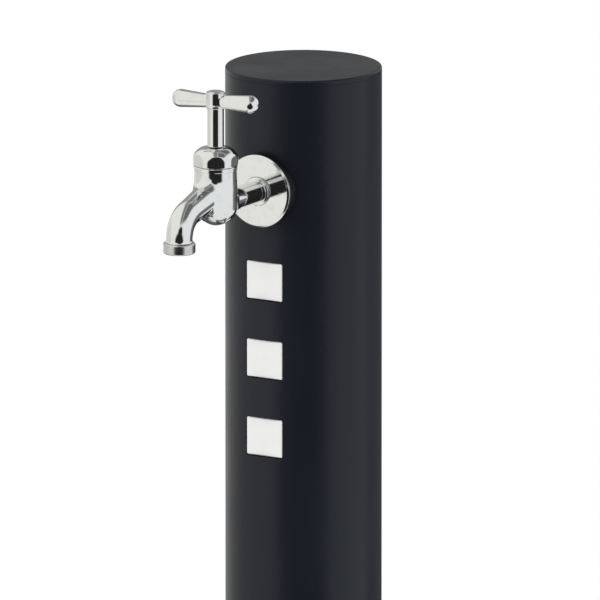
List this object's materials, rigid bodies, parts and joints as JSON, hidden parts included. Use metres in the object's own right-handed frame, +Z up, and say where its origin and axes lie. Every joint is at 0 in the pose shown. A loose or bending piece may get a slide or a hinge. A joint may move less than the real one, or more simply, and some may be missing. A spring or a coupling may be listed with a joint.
{
  "type": "garden standpipe",
  "caption": "Round dark garden water post with square white glass insets and a chromed T-handled tap on its front, fed by a riser pipe inside.",
  "frame": {"origin": "centre of the post's foot, on the surface it stands on", "axes": "+Z up along the post, the tap points along -Y, +X to the right of someone facing the tap"},
  "size_m": [0.1142, 0.2419, 1.2027],
  "materials": {
    "post_finish": "satin dark blue-grey powder coat",
    "screw_steel": "plain stainless steel",
    "tile_glass": "opaque white glass, polished face",
    "adhesive": "black sealant",
    "black_plastic": "moulded, matte black",
    "brass_fitting": "turned brass",
    "pipe_plastic": "extruded pipe, dark grey",
    "foam": "closed-cell foam",
    "chrome_plate": "polished chrome plate on brass",
    "seal_rubber": "moulded black rubber"
  },
  "bodies": {
    "standpipe": {"post_tube": "post_finish", "foot_plate": "post_finish", "top_cap": "post_finish", "cap_screws": "screw_steel", "glass_tile_1": "tile_glass", "glass_tile_2": "tile_glass", "glass_tile_3": "tile_glass", "tile_bed_1": "adhesive", "tile_bed_2": "adhesive", "tile_bed_3": "adhesive", "tile_tray_1": "black_plastic", "tile_tray_2": "black_plastic", "tile_tray_3": "black_plastic", "outer_saddle": "black_plastic", "inner_saddle": "black_plastic", "lock_nut": "brass_fitting", "elbow_fitting": "brass_fitting", "riser_pipe": "pipe_plastic", "pipe_insulation": "foam", "inlet_socket": "pipe_plastic", "pipe_guide": "black_plastic", "escutcheon": "chrome_plate", "tap_body": "chrome_plate", "outlet_collar": "chrome_plate", "outlet_seal": "seal_rubber", "cover_nut": "chrome_plate", "packing_seat": "brass_fitting", "spindle_packing": "seal_rubber"},
    "valve": {"valve_jumper": "brass_fitting", "valve_washer": "seal_rubber", "washer_nut": "brass_fitting"},
    "handle_spindle": {"spindle": "brass_fitting", "handle": "chrome_plate", "handle_screw": "screw_steel", "hub_cap": "chrome_plate"}
  },
  "joints": [
    {"name": "valve_lift", "type": "slide", "parent": "standpipe", "child": "valve", "axis": [0, 0, 1], "range_m": [0, 0.006]},
    {"name": "handle_turn", "type": "hinge", "parent": "valve", "child": "handle_spindle", "pos_m": [0, -0.1226, 1.118], "axis": [0, 0, 1], "range_deg": [0, 720]}
  ],
  "couplings": [
    {"joint": "handle_turn", "follows": "valve_lift", "rad_per_m": 2094.4}
  ]
}
